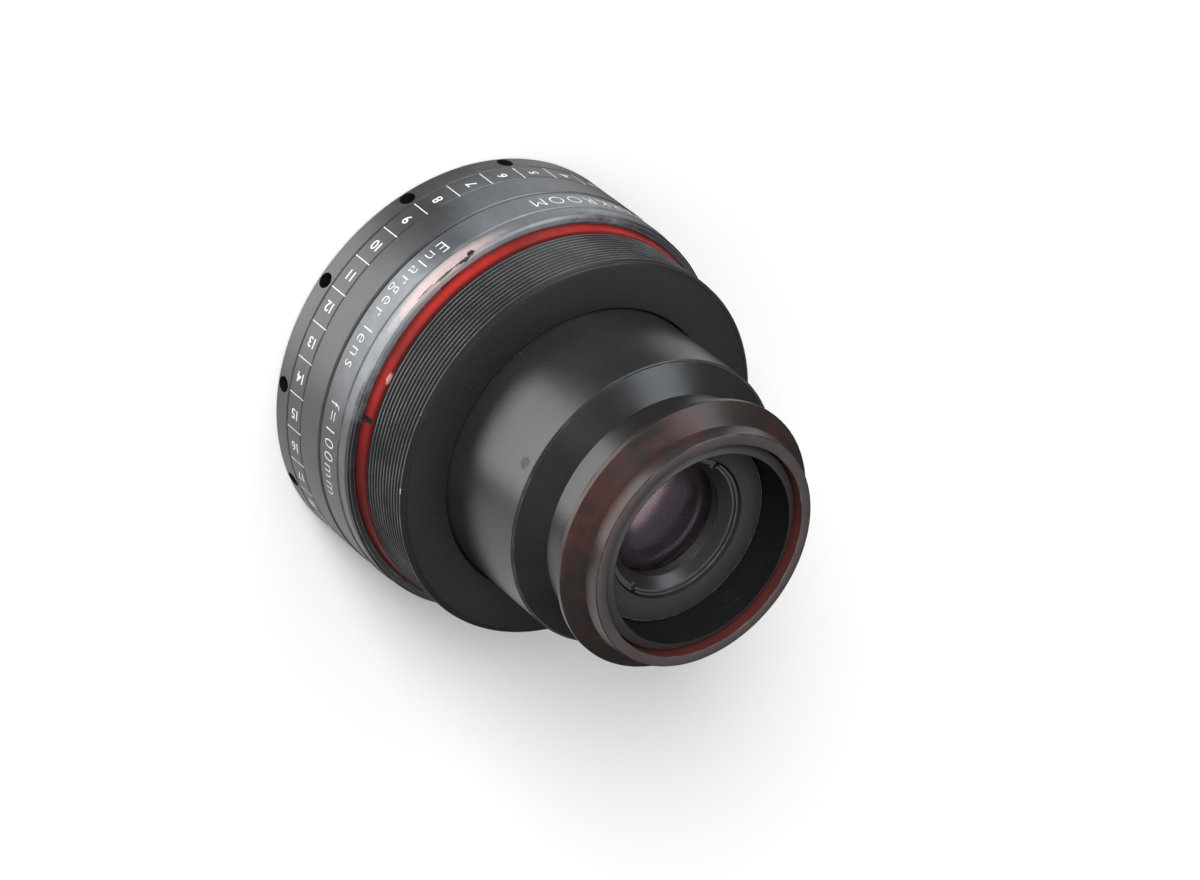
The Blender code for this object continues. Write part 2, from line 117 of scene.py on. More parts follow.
class Shade:
    """One procedural material, with short calls for the nodes it is made of."""

    def __init__(self, name, roughness=0.4, metallic=0.0, ior=1.5, specular=0.5):
        self.material = bpy.data.materials.new(name)
        self.material.use_nodes = True
        self.tree = self.material.node_tree
        self.shader = self.tree.nodes["Principled BSDF"]
        self.shader.inputs["Roughness"].default_value = roughness
        self.shader.inputs["Metallic"].default_value = metallic
        self.shader.inputs["IOR"].default_value = ior
        self.shader.inputs["Specular IOR Level"].default_value = specular
        self.place = self.add("ShaderNodeTexCoord").outputs["Object"]
        split = self.add("ShaderNodeSeparateXYZ")
        self.link(self.place, split.inputs[0])
        self.x, self.y, self.z = split.outputs
        self.radius = self.math("SQRT", self.math("ADD", self.power2(self.x), self.power2(self.y)))

    def add(self, kind):
        return self.tree.nodes.new(kind)

    def link(self, source, target):
        if isinstance(source, bpy.types.NodeSocket):
            self.tree.links.new(source, target)
        else:
            target.default_value = source

    def math(self, operation, first, second=0.0, clamp=False):
        node = self.add("ShaderNodeMath")
        node.operation = operation
        node.use_clamp = clamp
        self.link(first, node.inputs[0])
        self.link(second, node.inputs[1])
        return node.outputs[0]

    def power2(self, value):
        return self.math("MULTIPLY", value, value)

    def vector(self, x, y, z):
        node = self.add("ShaderNodeCombineXYZ")
        for source, target in zip((x, y, z), node.inputs):
            self.link(source, target)
        return node.outputs[0]

    def noise(self, scale, detail=3.0, roughness=0.5, where=None):
        node = self.add("ShaderNodeTexNoise")
        self.link(self.place if where is None else where, node.inputs["Vector"])
        node.inputs["Scale"].default_value = scale
        node.inputs["Detail"].default_value = detail
        node.inputs["Roughness"].default_value = roughness
        return node.outputs["Fac"]

    def ramp(self, value, low, high, start=0.0, end=1.0):
        """A smooth step from start to end as value goes from low to high."""
        node = self.add("ShaderNodeMapRange")
        node.interpolation_type = "SMOOTHSTEP"
        self.link(value, node.inputs["Value"])
        node.inputs["From Min"].default_value = low
        node.inputs["From Max"].default_value = high
        node.inputs["To Min"].default_value = start
        node.inputs["To Max"].default_value = end
        return node.outputs["Result"]

    def mix(self, factor, first, second):
        """The first colour where factor is 0, the second where it is 1."""
        node = self.add("ShaderNodeMix")
        node.data_type = "RGBA"
        self.link(factor, node.inputs[0])
        sockets = [s for s in node.inputs if s.type == "RGBA"]
        for source, target in zip((first, second), sockets):
            self.link(source if isinstance(source, bpy.types.NodeSocket) else (*source, 1), target)
        return [s for s in node.outputs if s.type == "RGBA"][0]

    def blend(self, factor, first, second):
        """The number first where factor is 0, second where it is 1."""
        node = self.add("ShaderNodeMix")
        node.data_type = "FLOAT"
        self.link(factor, node.inputs[0])
        self.link(first, node.inputs[2])
        self.link(second, node.inputs[3])
        return node.outputs[0]

    def hairlines(self, scale, width, sparse):
        """Thin wandering scratches: the contour lines of a noise, kept in a few places."""
        away = self.math("ABSOLUTE", self.math("SUBTRACT", self.noise(scale, 2.0), 0.5))
        line = self.ramp(away, 0.0, width, 1.0, 0.0)
        return self.math("MULTIPLY", line, self.ramp(self.noise(scale * 0.6), sparse, sparse + 0.08))

    def specks(self, scale, level):
        return self.ramp(self.noise(scale, 0.0), level, level + 0.04)

    def around(self, centre, reach, flatten=1.0, ragged=0.5, grain=900.0, fade=0.12):
        """A ragged patch around a point, reach wide and reach / flatten high."""
        stretched = self.vector(
            self.math("SUBTRACT", self.x, centre.x),
            self.math("SUBTRACT", self.y, centre.y),
            self.math("MULTIPLY", self.math("SUBTRACT", self.z, centre.z), flatten),
        )
        length = self.add("ShaderNodeVectorMath")
        length.operation = "LENGTH"
        self.link(stretched, length.inputs[0])
        nearness = self.math("SUBTRACT", 1.0, self.math("DIVIDE", length.outputs["Value"], reach))
        rough = self.math("MULTIPLY", self.math("SUBTRACT", self.noise(grain, 4.0, 0.7), 0.5), ragged * 4)
        return self.ramp(self.math("ADD", nearness, rough), 0.0, fade)

    def scratch(self, degrees, low, high, width):
        """A thin broken scratch along the axis, between two heights."""
        turn = math.radians(degrees)
        across = self.math(
            "SUBTRACT",
            self.math("MULTIPLY", self.x, math.sin(turn)),
            self.math("MULTIPLY", self.y, math.cos(turn)),
        )
        outwards = self.math(
            "ADD",
            self.math("MULTIPLY", self.x, math.cos(turn)),
            self.math("MULTIPLY", self.y, math.sin(turn)),
        )
        wander = self.math("MULTIPLY", self.math("SUBTRACT", self.noise(260.0), 0.5), 6 * width)
        away = self.math("ABSOLUTE", self.math("ADD", across, wander))
        mask = self.math("MULTIPLY", self.ramp(away, 0.0, width, 1.0, 0.0), self.ramp(outwards, 0.0, MM))
        mask = self.math("MULTIPLY", mask, self.ramp(self.z, low, low + MM))
        mask = self.math("MULTIPLY", mask, self.ramp(self.z, high - MM, high, 1.0, 0.0))
        return self.math("MULTIPLY", mask, self.ramp(self.noise(700.0), 0.40, 0.60))

    def turning(self, fineness=1600.0):
        """Fine lathe lines round the axis, on walls, faces and cones alike."""
        along = self.math("ADD", self.z, self.math("MULTIPLY", self.radius, 1.7))
        where = self.vector(
            self.math("MULTIPLY", self.x, 25.0),
            self.math("MULTIPLY", self.y, 25.0),
            self.math("MULTIPLY", along, fineness * 2.5),
        )
        return self.noise(1.0, 2.0, 0.6, where)

    def finish(self, colour, roughness, height=None, strength=0.3, distance=0.00002):
        self.link(colour, self.shader.inputs["Base Color"])
        self.link(roughness, self.shader.inputs["Roughness"])
        if height is not None:
            bump = self.add("ShaderNodeBump")
            bump.inputs["Strength"].default_value = strength
            bump.inputs["Distance"].default_value = distance
            self.link(height, bump.inputs["Height"])
            self.link(bump.outputs[0], self.shader.inputs["Normal"])
        return self.material


def anodised(
        name, dark, light, roughness,
        stains_and_painted_light=(), rubbed_and_sheen=None, scratches=(), hair=0.3, grainy=0.5, shade_above=None):
    """Black anodised aluminium: cloudy, with lathe lines, dust specks, hairlines, worn stain marks, and
    painted light and shade.

    The worn patch is a bluish grey, partly black worn away by handling and partly a painted
    sheen: centre, reach, flatten and how much at most. Outside it, the metal above the shading
    height is painted matte black, as painted shade on the top faces. A stain is (centre, reach,
    flatten, fade, tint, strength): some are real stain marks or chips, and some are painted
    highlights and painted shade. A scratch is (degrees, low, high, width)."""
    shade = Shade(name, specular=0.9, ior=1.55)
    clouds = shade.ramp(shade.noise(70.0, 5.0, 0.6), 0.30, 0.72)
    turning = shade.turning()
    grain = shade.noise(5200.0, 2.0, 0.7)
    colour = shade.mix(clouds, dark, light)
    colour = shade.mix(shade.ramp(grain, 0.35, 0.75, 0.0, grainy), colour, tuple(1.9 * c for c in light))
    scratched = shade.hairlines(160.0, 0.003, 0.60)
    dust = shade.math("MULTIPLY", shade.specks(3200.0, 0.79), shade.ramp(shade.noise(90.0), 0.50, 0.62))
    colour = shade.mix(shade.math("MULTIPLY", scratched, hair), colour, (0.12, 0.12, 0.125))
    colour = shade.mix(shade.math("MULTIPLY", dust, 0.35), colour, (0.30, 0.29, 0.27))
    rough = shade.ramp(clouds, 0.0, 1.0, roughness - 0.02, roughness + 0.02)
    rough = shade.math("ADD", rough, shade.math("MULTIPLY", shade.math("SUBTRACT", turning, 0.5), 0.10))
    rough = shade.math("ADD", rough, shade.math("MULTIPLY", dust, 0.3), clamp=True)
    # Worn patch: partly real wear to bluish grey, partly a painted sheen.
    if rubbed_and_sheen:
        centre, reach, flatten, most = rubbed_and_sheen
        polished_sheen = shade.around(centre, reach, flatten, 0.15, 160.0, 0.9)
        uneven = shade.ramp(shade.noise(420.0, 5.0, 0.7), 0.30, 0.70, 0.72 * most, most)
        polished_sheen = shade.math("MULTIPLY", polished_sheen, uneven)
        colour = shade.mix(polished_sheen, colour, (0.245, 0.268, 0.292))
        shade.link(shade.math("MULTIPLY", polished_sheen, 0.5), shade.shader.inputs["Metallic"])
        rough = shade.blend(polished_sheen, rough, 0.36)
        # Painted shade: matte black above a height, on the top faces, outside the worn patch.
        if shade_above:
            above = shade.ramp(shade.z, shade_above, shade_above + 0.5 * MM)
            shaded_top = shade.math("MULTIPLY", above, shade.ramp(polished_sheen, 0.15, 0.65, 1.0, 0.0))
            colour = shade.mix(shade.math("MULTIPLY", shaded_top, 0.95), colour, (0.006, 0.006, 0.0065))
            rough = shade.blend(shaded_top, rough, 0.55)
    # Each stain tints a patch: real stain marks and chips, and also painted highlights and painted shade.
    for centre, reach, flatten, fade, tint, strength in stains_and_painted_light:
        ragged, fineness = (0.5, 900.0) if fade < 0.3 else (0.12, 400.0)
        mask = shade.around(centre, reach, flatten, ragged, fineness, fade)
        mask = shade.math("MULTIPLY", mask, strength)
        colour = shade.mix(mask, colour, tint)
        rough = shade.blend(mask, rough, 0.5)
    for degrees, low, high, width in scratches:
        colour = shade.mix(shade.scratch(degrees, low, high, width), colour, (0.26, 0.26, 0.26))
    return shade.finish(colour, rough, turning, 0.35)


def worn_edge(name, dark, bare):
    """A rounded edge, lighter than the faces beside it: partly black worn through in places, partly a painted
    edge highlight.
    """
    shade = Shade(name, metallic=0.2)
    rubbed_and_sheen = shade.ramp(shade.noise(240.0, 5.0, 0.65), 0.45, 0.70)
    colour = shade.mix(rubbed_and_sheen, dark, bare)
    rough = shade.blend(rubbed_and_sheen, 0.32, 0.38)
    return shade.finish(colour, rough, shade.noise(1500.0), 0.3)


def matte(name, dark, light, dusty=0.5, rim=None):
    """Matte black paint inside the lens, with a little dust, and a dusty line at the rim radius."""
    shade = Shade(name, specular=0.35)
    grain = shade.noise(1800.0, 3.0, 0.7)
    dust = shade.math("MULTIPLY", shade.specks(2600.0, 0.78), shade.ramp(shade.noise(120.0), 0.45, 0.62))
    colour = shade.mix(shade.noise(60.0, 4.0), dark, light)
    colour = shade.mix(shade.ramp(grain, 0.40, 0.80, 0.0, 0.4), colour, tuple(2.0 * c for c in light))
    colour = shade.mix(shade.math("MULTIPLY", dust, dusty), colour, (0.22, 0.22, 0.21))
    if rim:
        line = shade.ramp(shade.radius, rim - 0.22 * MM, rim - 0.05 * MM)
        broken = shade.ramp(shade.noise(500.0, 4.0, 0.7), 0.40, 0.65, 0.1, 0.9)
        colour = shade.mix(shade.math("MULTIPLY", line, broken), colour, (0.13, 0.13, 0.125))
    rough = shade.blend(grain, 0.55, 0.72)
    return shade.finish(colour, rough, grain, 0.25)


def faded_brown():
    """Black anodising that light has turned brown, and dull red where it faded furthest."""
    shade = Shade("faded_brown", specular=0.7, ior=1.55)
    shade.shader.inputs["Specular Tint"].default_value = (1.0, 0.80, 0.76, 1)
    high = heights_of("rear_flange_ring")[1]
    bore = min(r for r, z in section("rear_flange_ring"))
    turning = shade.turning(1200.0)
    cloud = shade.ramp(shade.noise(60.0, 5.0, 0.7), 0.39, 0.62)
    colour = shade.mix(cloud, (0.0165, 0.0155, 0.0150), (0.042, 0.0150, 0.0135))
    colour = shade.mix(shade.ramp(turning, 0.45, 0.75, 0.0, 0.4), colour, (0.034, 0.024, 0.023))
    rim = shade.ramp(shade.z, high - 2.2 * MM, high - 1.2 * MM)
    colour = shade.mix(shade.math("MULTIPLY", rim, 0.8), colour, (0.029, 0.0265, 0.027))
    scratched = shade.hairlines(130.0, 0.003, 0.56)
    colour = shade.mix(shade.math("MULTIPLY", scratched, 0.25), colour, (0.13, 0.11, 0.105))
    wall = shade.ramp(shade.radius, bore + 0.02 * MM, bore + 0.08 * MM, 1.0, 0.0)
    red = shade.mix(shade.noise(60.0, 5.0, 0.6), (0.034, 0.012, 0.010), (0.085, 0.017, 0.014))
    colour = shade.mix(wall, colour, red)
    rough = shade.ramp(cloud, 0.0, 1.0, 0.30, 0.40)
    rough = shade.math("ADD", rough, shade.math("MULTIPLY", shade.math("SUBTRACT", turning, 0.5), 0.1))
    return shade.finish(colour, rough, turning, 0.4)


def index_red():
    """Red enamel, darkened by grime and chipped through to the metal at a few places, with painted shade at
    both edges and on one side.
    """
    shade = Shade("index_red_enamel", specular=0.5)
    low, high = heights_of("red_index_ring")
    grime = shade.ramp(shade.noise(55.0, 5.0, 0.6), 0.40, 0.68)
    colour = shade.mix(grime, (0.36, 0.016, 0.011), (0.17, 0.010, 0.008))
    # Painted shade: the red darkens towards its foot and its top edge, as on a rounded ring.
    foot = shade.math("MULTIPLY", shade.ramp(shade.z, low + 0.4 * MM, low + 1.1 * MM, 1.0, 0.0), 0.75)
    crown_shade = shade.math("MULTIPLY", shade.ramp(shade.z, high - 0.6 * MM, high, 0.0, 1.0), 0.7)
    colour = shade.mix(foot, colour, (0.10, 0.012, 0.012))
    colour = shade.mix(crown_shade, colour, (0.09, 0.012, 0.012))
    # Painted shade: darker red on the side around 340 degrees, the side turned from the light.
    shaded_side = shade.around(polar(radius_of("red_index_ring"), 340, high), 48 * MM, 1.0, 0.1, 160.0, 0.7)
    colour = shade.mix(shade.math("MULTIPLY", shaded_side, 0.9), colour, (0.085, 0.009, 0.008))
    chips = shade.specks(900.0, 0.76)
    colour = shade.mix(chips, colour, (0.05, 0.03, 0.03))
    chip = polar(radius_of("red_index_ring") - 0.7 * MM, 287, high)
    pink = shade.around(chip, 1.5 * MM, 3.0, 0.22, 1500.0, 0.6)
    colour = shade.mix(shade.math("MULTIPLY", pink, 0.8), colour, (0.50, 0.27, 0.25))
    rough = shade.blend(grime, 0.30, 0.45)
    height = shade.math("SUBTRACT", shade.noise(900.0, 3.0), shade.math("MULTIPLY", chips, 2.0))
    return shade.finish(colour, rough, height, 0.3)


def thread_black():
    """Anodised thread, nicked, with every crest lightened: partly worn bare, partly a painted highlight along
    each crest.
    """
    shade = Shade("thread_black", specular=0.55)
    clouds = shade.noise(80.0, 4.0)
    colour = shade.mix(clouds, (0.011, 0.011, 0.0115), (0.019, 0.019, 0.020))
    # Painted highlight and wear: the crests are made lighter all round, more where worn bare.
    crest = shade.ramp(shade.radius, THREAD_CREST - 0.16 * MM, THREAD_CREST - 0.03 * MM)
    rubbed_and_sheen = shade.math("MULTIPLY", crest, shade.ramp(shade.noise(120.0, 5.0, 0.7), 0.38, 0.66, 0.3, 0.9))
    colour = shade.mix(rubbed_and_sheen, colour, (0.12, 0.12, 0.124))
    for degrees, height, size in THREAD_NICKS:
        nick = shade.around(polar(THREAD_CREST, degrees, height * MM), size * MM, 1.0, 0.3, 2500.0)
        colour = shade.mix(shade.math("MULTIPLY", nick, crest), colour, (0.62, 0.61, 0.60))
    rough = shade.blend(clouds, 0.28, 0.36)
    return shade.finish(colour, rough, shade.noise(700.0, 3.0), 0.2)


def bare_metal(name, dark, light, roughness):
    """Turned brass or steel with a film of old grease."""
    shade = Shade(name, metallic=1.0)
    film = shade.ramp(shade.noise(90.0, 5.0, 0.6), 0.4, 0.65)
    turning = shade.turning()
    colour = shade.mix(film, light, dark)
    rough = shade.blend(film, roughness, roughness + 0.2)
    return shade.finish(colour, rough, turning, 0.3)


def engraving_paint():
    """Off-white paint filling the engraving, thin and dirty in places."""
    shade = Shade("engraving_white", specular=0.3)
    thin = shade.ramp(shade.noise(420.0, 4.0, 0.6), 0.50, 0.75, 0.0, 0.6)
    colour = shade.mix(thin, (0.70, 0.71, 0.69), (0.34, 0.34, 0.34))
    rough = shade.blend(thin, 0.55, 0.7)
    return shade.finish(colour, rough, shade.noise(3000.0), 0.2)


def coated_glass(name, reach, reflection, tint):
    """Optical glass, reach in radius, whose coating reflects purple, with a faint smear."""
    shade = Shade(name, ior=1.62)
    shade.shader.inputs["Transmission Weight"].default_value = 1.0
    shade.shader.inputs["Specular Tint"].default_value = (*reflection, 1)
    edge = shade.ramp(shade.radius, 0.8 * reach, reach)
    colour = shade.mix(edge, tint, tuple(0.8 * c for c in tint))
    smear = shade.ramp(shade.noise(45.0, 4.0), 0.35, 0.75, 0.15, 0.21)
    return shade.finish(colour, smear, shade.noise(60.0), 0.02)


# ---------------------------------------------------------------- turned shapes

def section(node):
    """The node's outline in the half-plane at +X, as (radius, height) points in order."""
    mesh = frame["nodes"][node].data
    near = {}
    for vertex in mesh.vertices:
        if abs(vertex.co.y) < ON_PLANE and vertex.co.x > -TINY:
            near[vertex.index] = (round(vertex.co.x, 6), round(vertex.co.z, 6))
    beside = {}
    for edge in mesh.edges:
        first, second = (near.get(index) for index in edge.vertices)
        if first is None or second is None or first == second:
            continue
        if first[0] == 0 and second[0] == 0:
            continue
        beside.setdefault(first, set()).add(second)
        beside.setdefault(second, set()).add(first)
    ends = sorted((p for p in beside if len(beside[p]) == 1), key=lambda p: -p[1])
    path = [ends[0] if ends else max(beside)]
    while True:
        onward = [p for p in sorted(beside[path[-1]]) if p not in path]
        if not onward:
            return path
        path.append(onward[0])


def signed_area(points):
    pairs = zip(points, points[1:] + points[:1])
    return sum(a[0] * b[1] - b[0] * a[1] for a, b in pairs) / 2


def rounded(outline, size, closed=True):
    """The outline with its corners rounded, as (radius, height, edge) points.

    edge marks a point whose stretch to the next one is part of an outward corner."""
    side = math.copysign(1, signed_area(outline))
    made = []
    count = len(outline)
    for index, (r, z) in enumerate(outline):
        corner = Vector((r, z))
        if not closed and index in (0, count - 1):
            made.append((r, z, False))
            continue
        before = Vector(outline[index - 1]) - corner
        after = Vector(outline[(index + 1) % count]) - corner
        turn = math.pi - before.angle(after)
        if turn < GENTLE:
            made.append((r, z, False))
            continue
        reach = min(size * math.tan(turn / 2), 0.45 * before.length, 0.45 * after.length)
        start = corner + before.normalized() * reach
        end = corner + after.normalized() * reach
        outward = side * (after.x * before.y - after.y * before.x) > 0
        for step in range(CORNER_STEPS + 1):
            t = step / CORNER_STEPS
            point = start * (1 - t) ** 2 + corner * 2 * t * (1 - t) + end * t ** 2
            made.append((point.x, point.y, outward and step < CORNER_STEPS))
    return made


def level_from(points):
    """The index of the first point off the axis that starts a level stretch."""
    return next(i for i in range(1, len(points)) if abs(points[i + 1][1] - points[i][1]) < TINY)


def arc(axis, reach, count):
    """The points of the arc about the axis, from its top to its reach."""
    rise = reach[1] - axis[1]
    if abs(rise) < TINY:
        return [axis, reach]
    radius = (reach[0] ** 2 + rise ** 2) / (2 * rise)
    full = math.asin(reach[0] / abs(radius))
    turns = [full * i / count for i in range(count + 1)]
    return [(abs(radius) * math.sin(t), axis[1] + radius * (1 - math.cos(t))) for t in turns]


def ground(outline, count=20):
    """A lens section with its facets turned back into arcs through the axis and the reach."""
    top_reach = level_from(outline)
    low_reach = len(outline) - 1 - level_from(outline[::-1])
    top = arc(outline[0], outline[top_reach], count)
    low = arc(outline[-1], outline[low_reach], count)
    return top + outline[top_reach + 1:low_reach] + low[::-1]


def mesh_object(name, shape, materials):
    """An object of this bmesh, smooth with sharp corners kept."""
    bmesh.ops.remove_doubles(shape, verts=shape.verts, dist=TINY * 5)
    bmesh.ops.recalc_face_normals(shape, faces=shape.faces)
    mesh = bpy.data.meshes.new(name)
    shape.to_mesh(mesh)
    shape.free()
    mesh.shade_smooth()
    mesh.set_sharp_from_angle(angle=SHARP_ANGLE)
    for material in materials:
        mesh.materials.append(material)
    obj = bpy.data.objects.new(name, mesh)
    bpy.context.scene.collection.objects.link(obj)
    return obj


def lathe(name, points, materials, closed=True, steps=STEPS, bore=0.0):
    """A solid turned about Z from (radius, height, worn) points.

    Outward corners take the second material, of edge wear and painted edge highlight, and walls inside the
    bore radius the third."""
    shape = bmesh.new()
    columns = []
    for step in range(steps):
        turn = 2 * math.pi * step / steps
        cos, sin = math.cos(turn), math.sin(turn)
        columns.append([shape.verts.new((p[0] * cos, p[0] * sin, p[1])) for p in points])
    count = len(points)
    for here, there in zip(columns, columns[1:] + columns[:1]):
        for j in range(count if closed else count - 1):
            k = (j + 1) % count
            face = shape.faces.new((here[j], there[j], there[k], here[k]))
            inside = max(points[j][0], points[k][0]) < bore
            face.material_index = 2 if inside else int(len(materials) > 1 and points[j][2])
    return mesh_object(name, shape, materials)


def stand_for(obj, node):
    """obj is shown in place of the CAD node, and moves with its body."""
    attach(obj, body_of(node))
    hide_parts(node)
    return obj


def turned(node, materials, corner=CORNER, bore=0.0, sink=0.0, edge=None, by=0.0):
    """The CAD node turned again finely, with rounded corners, and sink smaller in radius.

    The points near the height edge move by this much, to close the CAD's gap to a neighbour
    that really touches it."""
    most = radius_of(node) - sink
    outline = []
    for r, z in section(node):
        moves = edge is not None and abs(z - edge) < 0.25 * MM
        outline.append((min(r, most), z + by if moves else z))
    points = rounded(outline, corner)
    return stand_for(lathe(node + "_turned", points, materials, bore=bore), node)


def glass(node, material):
    points = [(r, z, False) for r, z in ground(section(node))]
    return stand_for(lathe(node + "_ground", points, [material], closed=False), node)


def rod(radius, start, end, sides=40):
    """A cutter: a cylinder from start to end."""
    shape = bmesh.new()
    along = end - start
    bmesh.ops.create_cone(
        shape, cap_ends=True, segments=sides, radius1=radius, radius2=radius, depth=along.length)
    place = Matrix.Translation((start + end) / 2) @ along.to_track_quat("Z", "Y").to_matrix().to_4x4()
    bmesh.ops.transform(shape, matrix=place, verts=shape.verts)
    return shape


def block(low, high, turn=0.0):
    """A cutter: a box between two corners, turned about Z."""
    shape = bmesh.new()
    bmesh.ops.create_cube(shape, size=1.0)
    place = Matrix.Rotation(turn, 4, "Z") @ Matrix.Translation((low + high) / 2)
    bmesh.ops.transform(shape, matrix=place @ Matrix.Diagonal((*(high - low), 1)), verts=shape.verts)
    return shape


def gather(shapes):
    """One bmesh holding all of these."""
    whole = bmesh.new()
    for shape in shapes:
        part = bpy.data.meshes.new("part")
        shape.to_mesh(part)
        shape.free()
        whole.from_mesh(part)
        bpy.data.meshes.remove(part)
    return whole


def cut(obj, cutters):
    """Takes the cutters away from the object, and keeps only the result."""
    joined = bpy.data.meshes.new("cutters")
    everything = gather(cutters)
    everything.to_mesh(joined)
    everything.free()
    tool = bpy.data.objects.new("cutters", joined)
    bpy.context.scene.collection.objects.link(tool)
    boolean = obj.modifiers.new("cut", "BOOLEAN")
    boolean.operation = "DIFFERENCE"
    boolean.solver = "EXACT"
    boolean.object = tool
    bpy.context.view_layer.update()
    graph = bpy.context.evaluated_depsgraph_get()
    made = bpy.data.meshes.new_from_object(obj.evaluated_get(graph))
    obj.modifiers.clear()
    old = obj.data
    obj.data = made
    made.name = obj.name
    made.set_sharp_from_angle(angle=SHARP_ANGLE)
    bpy.data.objects.remove(tool)
    bpy.data.meshes.remove(joined)
    bpy.data.meshes.remove(old)
    return obj


# ---------------------------------------------------------------- the mounting thread

THREAD_CREST = radius_of("mount_barrel")
THREAD_PITCH = 1.0 * MM
THREAD_DEPTH = 0.55 * MM
CREST_FLAT = 0.10         # shares of a pitch
ROOT_FLAT = 0.12
FLANK_MIDDLE = 0.27
RUN_IN = 0.45 * MM        # from the red ring to the first turn
RUN_OUT = 0.75 * MM       # from the last turn to the end face
SLIGHT = 0.05 * MM
THREAD_NICKS = [          # degrees from +X, height and size in mm
    (298, 33.5, 0.35), (255, 35.5, 0.3), (289, 41.8, 0.8), (303, 41.7, 0.6), (312, 41.8, 0.9),
]


def thread_radius(turns):
    """The thread's radius at this many turns along its profile."""
    phase = turns % 1.0
    away = min(phase, 1.0 - phase) * 2
    rise = (away - CREST_FLAT) / (1 - CREST_FLAT - ROOT_FLAT)
    return THREAD_CREST - THREAD_DEPTH * min(max(rise, 0.0), 1.0)


def plain_barrel():
    """The mount barrel's outline without its thread: the points before it, and those after."""
    outline = section("mount_barrel")
    face_z = heights_of("mount_barrel")[1]
    root = THREAD_CREST - THREAD_DEPTH
    foot = heights_of("red_index_ring")[1] + SLIGHT
    spigot = max(r for r, z in outline if z < heights_of("name_ring")[0])
    face = [r for r, z in outline if z > face_z - 0.01 * MM]
    face_r, bore = max(face), min(face)
    inner = sorted({z for r, z in outline if r < spigot - MM and z < face_z - MM})
    sleeve = max(r for r, z in outline if abs(z - inner[-1]) < TINY)
    before = [(spigot, inner[0]), (spigot, foot), (root, foot)]
    after = [
        (root + SLIGHT, face_z - RUN_OUT + SLIGHT),
        (face_r + 0.45 * MM, face_z - 0.40 * MM),
        (face_r + 0.20 * MM, face_z - 0.08 * MM),
        (face_r, face_z),
        (bore + 0.2 * MM, face_z),
        (bore, face_z - 0.2 * MM),
        (bore, inner[-1]),
        (sleeve, inner[-1]),
        (sleeve, inner[0]),
    ]
    return before, after


def threaded_barrel(materials):
    """The mount barrel, with its thread cut as one right-handed helix that runs out at both ends."""
    low_z = heights_of("red_index_ring")[1] + RUN_IN
    high_z = heights_of("mount_barrel")[1] - RUN_OUT
    head, tail = plain_barrel()
    rising = [0.0, CREST_FLAT / 2, FLANK_MIDDLE, 0.5 - ROOT_FLAT / 2]
    marks = rising + [0.5] + [1 - mark for mark in rising[:0:-1]]
    rows = int((high_z - low_z) / THREAD_PITCH + 2) * len(marks)
    shape = bmesh.new()
    columns = []
    for step in range(STEPS):
        share = step / STEPS
        turn = 2 * math.pi * share
        points = list(head)
        for row in range(rows):
            turns = row // len(marks) - 1 + marks[row % len(marks)]
            z = min(max(low_z + THREAD_PITCH * (turns + share), low_z), high_z)
            points.append((thread_radius((z - low_z) / THREAD_PITCH - share), z))
        points += tail
        columns.append([shape.verts.new((r * math.cos(turn), r * math.sin(turn), z)) for r, z in points])
    first, last = len(head), len(head) + rows
    for step, here in enumerate(columns):
        there = columns[(step + 1) % STEPS]
        shift = len(marks) if step == STEPS - 1 else 0
        for j in range(len(here)):
            k = (j + 1) % len(here)
            ahead = [min(i + shift, last - 1) if first <= i < last else i for i in (j, k)]
            corners = [here[j], there[ahead[0]], there[ahead[1]], here[k]]
            if first <= j < last and ahead[0] == ahead[1]:
                corners.pop(1)
            face = shape.faces.new(corners)
            face.material_index = 0 if first - 1 <= j < last + 1 else 1
    return stand_for(mesh_object("threaded_barrel", shape, materials), "mount_barrel")


# ---------------------------------------------------------------- inlays on the rings

INLAY = 0.012 * MM        # how far the paint stands proud
ROOTED = 0.05 * MM        # how far it goes into the ring
HALF_THICK = 0.01 * MM    # of a flat drawing, before it is wrapped
STRIP = 0.5 * MM          # a drawing is wrapped in strips this wide
CAPITAL = 0.73            # a capital's height, as a share of the font's size

SCALE_SINK = 0.02 * MM    # how much the scale ring is made smaller, so its paint stays in the CAD box
SCALE_COUNT = 36
SCALE_START = 6.5         # degrees from +X to the first line
NUMBER_START = 161.5      # degrees from +X to the number 0
LINE_SIZE = (0.2 * MM, 4.85 * MM)
LINE_RISE = 2.55 * MM     # from the scale ring's foot to the middle of a line
NUMBER_SIZE = 2.2 * MM
NUMBER_RISE = 2.75 * MM

TEXT_SIZE = 3.2 * MM
TEXT_RISE = 1.75 * MM     # from the name ring's foot to the foot of the text
MARK_AT = 300             # degrees from +X
MARK_WIDTH = 1.2 * MM
MARK_PROUD = 0.03 * MM
MARK_ROOTED = 0.2 * MM


def bend(shape, radius, degrees, z, upright):
    """Wraps a flat drawing, with its thickness along Z, round the lens.

    Upright drawings read round the lens with their tops up; the others read downwards, with
    their tops towards rising angles."""
    for vertex in shape.verts:
        across, up, out = vertex.co
        round_way, rise = (across, up) if upright else (up, -across)
        turn = math.radians(degrees) + round_way / radius
        far = radius + (INLAY if out > 0 else -ROOTED)
        vertex.co = (far * math.cos(turn), far * math.sin(turn), z + rise)


def slice_up(shape, spacing, axis):
    """Cuts the drawing into strips, so that it can follow the curve."""
    way = Vector((1, 0, 0)) if axis == 0 else Vector((0, 1, 0))
    values = [v.co[axis] for v in shape.verts]
    place = min(values) + spacing
    while place < max(values):
        geometry = shape.verts[:] + shape.edges[:] + shape.faces[:]
        bmesh.ops.bisect_plane(shape, geom=geometry, plane_co=way * place, plane_no=way, dist=TINY)
        place += spacing


